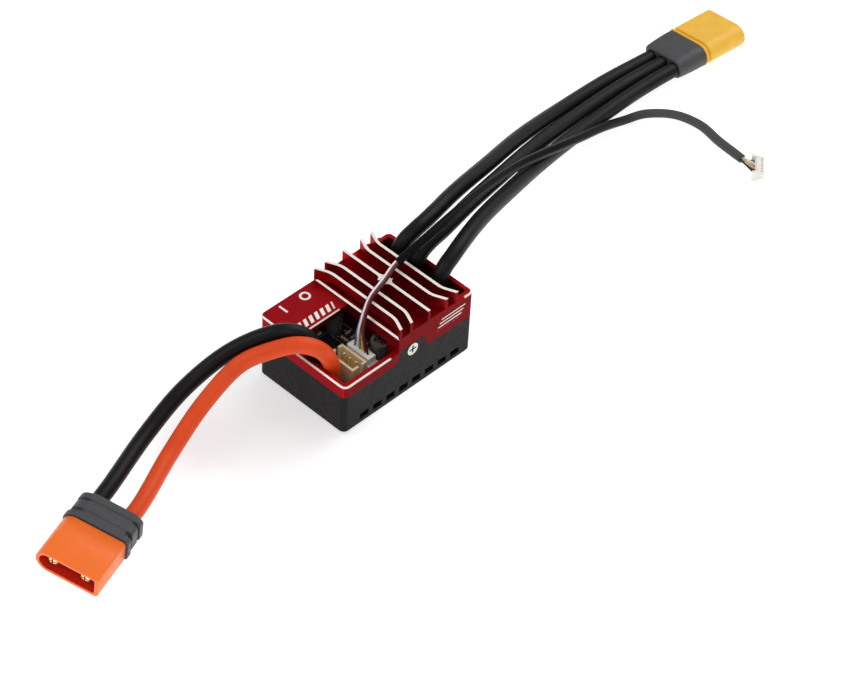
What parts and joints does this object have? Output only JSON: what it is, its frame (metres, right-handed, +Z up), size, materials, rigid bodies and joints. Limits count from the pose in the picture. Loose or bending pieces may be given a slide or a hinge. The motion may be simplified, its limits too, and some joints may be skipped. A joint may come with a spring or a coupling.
{
  "type": "electronic speed controller",
  "caption": "Small sensored speed controller for a brushless model motor: finned red heat sink cover on a black tray, open window, wired battery, motor and sensor plugs.",
  "frame": {"origin": "middle of the underside of the case, on the surface it stands on", "axes": "+X from the battery end to the motor end of the case, +Y to the long side with the slide switch, +Z up"},
  "size_m": [0.2731, 0.0562, 0.0305],
  "materials": {
    "case_black": "moulded black plastic, fine matt texture",
    "anodised_red": "machined aluminium, red anodised, bevels and fin tops cut bright",
    "steel_screw": "bright machine screws",
    "silicone_pad": "soft thermal pad",
    "board_green": "dark solder mask on laminate",
    "chip_black": "moulded chip packages",
    "can_metal": "drawn capacitor cans",
    "can_sleeve": "shrink sleeve with a grey stripe",
    "ceramic": "ceramic chip capacitors with tinned ends",
    "lens": "clear resin over a chip light",
    "header_beige": "moulded nylon header",
    "contact_gold": "gold plated contacts",
    "plug_white": "moulded nylon plug",
    "switch_metal": "pressed switch frame",
    "solder": "tinned solder joints",
    "wire_black": "soft silicone insulation, black",
    "wire_orange": "soft silicone insulation, orange",
    "sleeve_dark": "dark sleeve over the sensor wires",
    "wire_mixed": "thin hook-up wires in several colours",
    "plug_orange": "moulded orange plug body",
    "plug_yellow": "moulded yellow plug body",
    "cap_grey": "grey moulded wire cap"
  },
  "bodies": {
    "body": {"base_tray": "case_black", "heat_sink_cover": "anodised_red", "case_screws": "steel_screw", "thermal_pad": "silicone_pad", "power_board": "board_green", "power_mosfets": "chip_black", "gate_drivers": "chip_black", "shunt_resistors": "chip_black", "bec_regulator": "chip_black", "bec_inductor": "chip_black", "capacitor_cans": "can_metal", "capacitor_sleeves": "can_sleeve", "control_board": "board_green", "board_link_strip": "chip_black", "board_link_pins": "contact_gold", "microcontroller": "chip_black", "ceramic_capacitors": "ceramic", "status_led": "lens", "receiver_header": "header_beige", "receiver_pins": "contact_gold", "sensor_socket": "plug_white", "sensor_socket_pins": "contact_gold", "sensor_board_plug": "plug_white", "switch_frame": "switch_metal", "switch_terminals": "solder", "battery_solder_joints": "solder", "battery_wire_black": "wire_black", "battery_wire_orange": "wire_orange", "battery_plug_cap": "cap_grey", "battery_plug_housing": "plug_orange", "battery_plug_pins": "contact_gold", "motor_solder_joints": "solder", "motor_wire_a": "wire_black", "motor_wire_b": "wire_black", "motor_wire_c": "wire_black", "motor_plug_cap": "cap_grey", "motor_plug_housing": "plug_yellow", "motor_plug_sockets": "contact_gold", "sensor_wires": "wire_mixed", "sensor_sleeve": "sleeve_dark", "sensor_tail_wires": "wire_mixed", "sensor_lead_plug": "plug_white", "sensor_lead_contacts": "contact_gold"},
    "switch": {"switch_lever": "case_black"}
  },
  "joints": [
    {"name": "power_switch", "type": "slide", "parent": "body", "child": "switch", "axis": [-1, 0, 0], "range_m": [0, 0.0024]}
  ]
}
